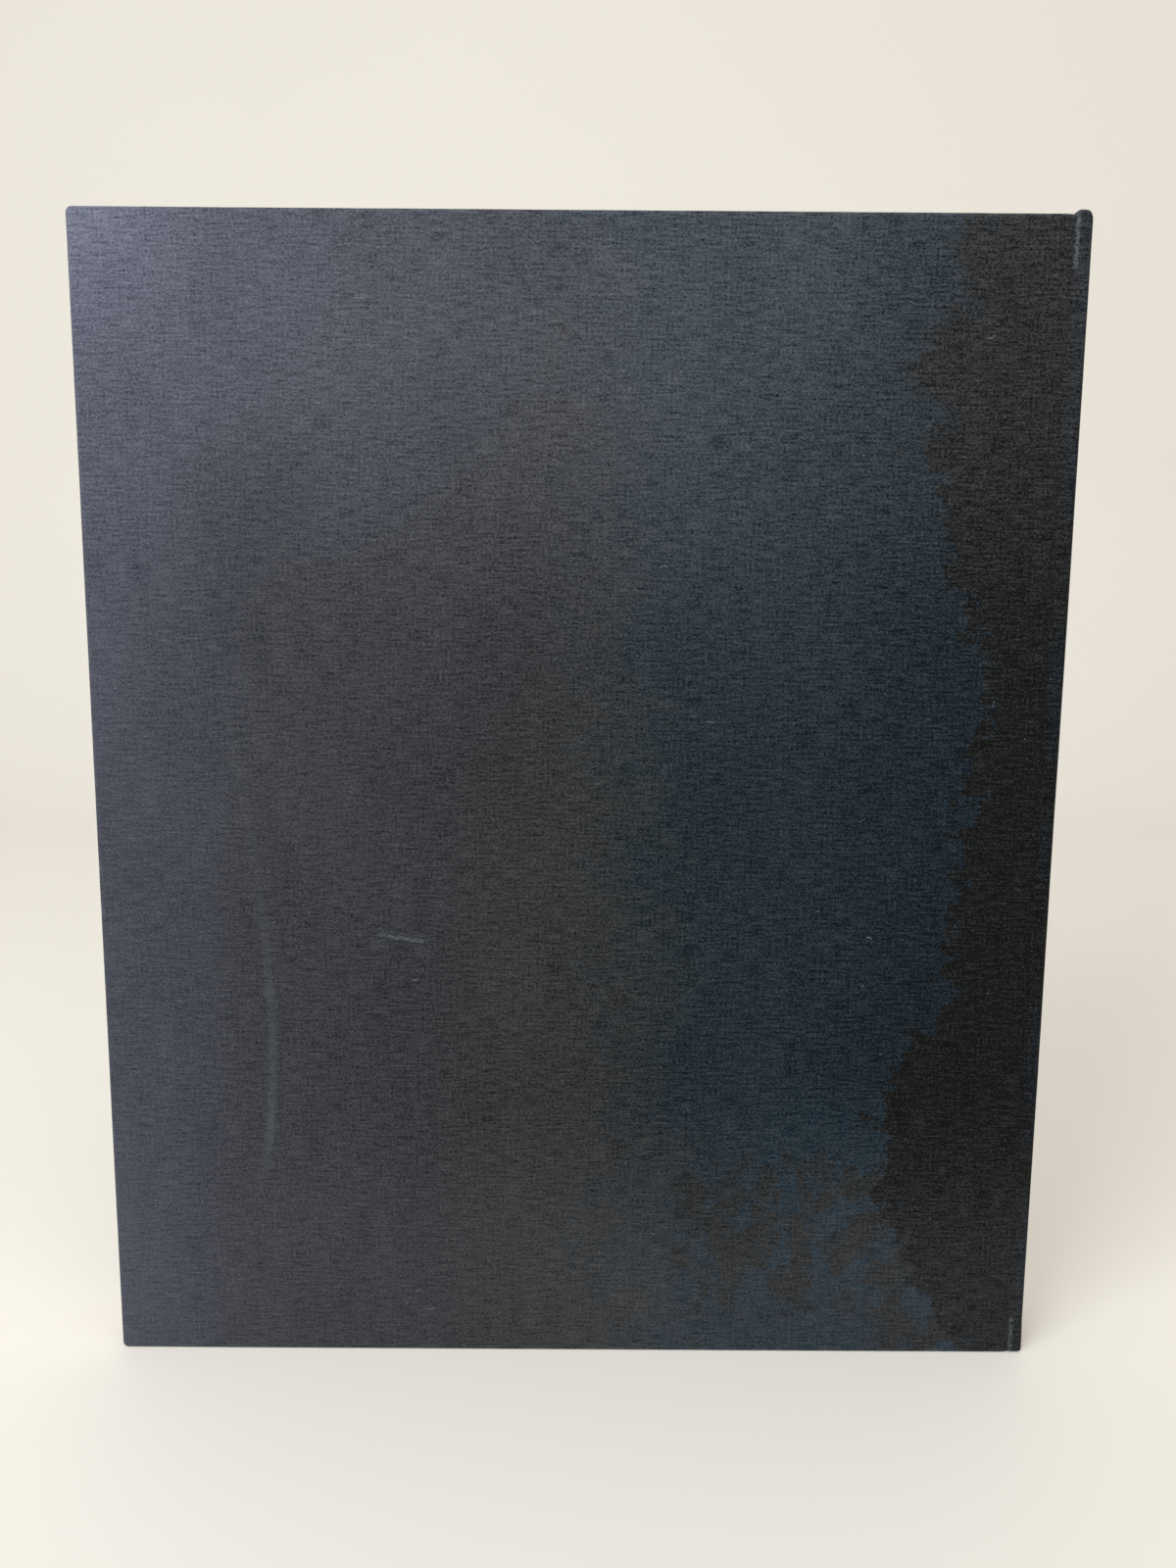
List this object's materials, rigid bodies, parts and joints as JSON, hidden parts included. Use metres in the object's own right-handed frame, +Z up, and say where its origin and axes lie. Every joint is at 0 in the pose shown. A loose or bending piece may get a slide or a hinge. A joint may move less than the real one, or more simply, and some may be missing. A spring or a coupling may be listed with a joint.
{
  "type": "picture book",
  "caption": "Large hardback picture book bound in plain cloth, with a flat spine and covers that open, standing upright.",
  "frame": {"origin": "middle of the footprint, on the surface that the book stands on", "axes": "+Z up from tail to head, +X from the fore edge to the spine, -Y out of the back cover"},
  "size_m": [0.3006, 0.031, 0.3614],
  "materials": {
    "book_cloth": "matte",
    "leaves": "matte",
    "endpaper": "matte",
    "greyboard": "matte",
    "band_thread": "satin",
    "gauze": "matte",
    "brown_paper": "matte"
  },
  "bodies": {
    "block": {"text_block": "leaves", "back_flyleaf": "endpaper", "front_flyleaf": "endpaper", "head_band": "band_thread", "tail_band": "band_thread", "mull": "gauze", "spine_lining": "brown_paper", "spine_board": "greyboard", "spine_cloth": "book_cloth"},
    "back_cover": {"back_pastedown": "endpaper", "back_board": "greyboard", "back_cover_cloth": "book_cloth"},
    "front_cover": {"front_pastedown": "endpaper", "front_board": "greyboard", "front_cover_cloth": "book_cloth"}
  },
  "joints": [
    {"name": "back_cover_joint", "type": "hinge", "parent": "block", "child": "back_cover", "pos_m": [0.14467, -0.01565, 0.18], "axis": [0, 0, 1], "range_deg": [0, 180]},
    {"name": "front_cover_joint", "type": "hinge", "parent": "block", "child": "front_cover", "pos_m": [0.14467, 0.01565, 0.18], "axis": [0, 0, -1], "range_deg": [0, 180]}
  ]
}
